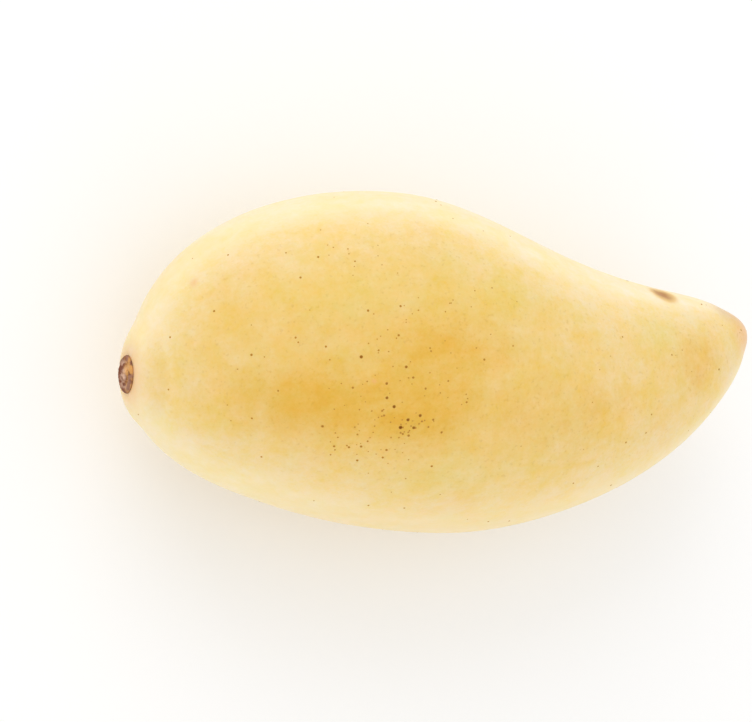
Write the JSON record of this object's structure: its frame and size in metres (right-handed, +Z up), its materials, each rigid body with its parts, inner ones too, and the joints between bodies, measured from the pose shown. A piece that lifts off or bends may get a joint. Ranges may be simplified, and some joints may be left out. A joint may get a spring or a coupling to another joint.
{
  "type": "mango",
  "caption": "Ripe yellow mango of the long, beaked kind, lying on one cheek, with the corky stub of its stalk. A whole fruit to set down, heap or handle.",
  "frame": {"origin": "on the surface that the mango lies on, under the middle of its box", "axes": "+X runs from the stem end to the beak, +Y is the front edge, which hollows in before the beak, and +Z is up"},
  "size_m": [0.1508, 0.0792, 0.0662],
  "materials": {
    "mango_skin": "satin",
    "stalk_cork": "matte"
  },
  "bodies": {
    "root": {"mango_fruit": "mango_skin", "stalk_button": "stalk_cork"}
  },
  "joints": []
}
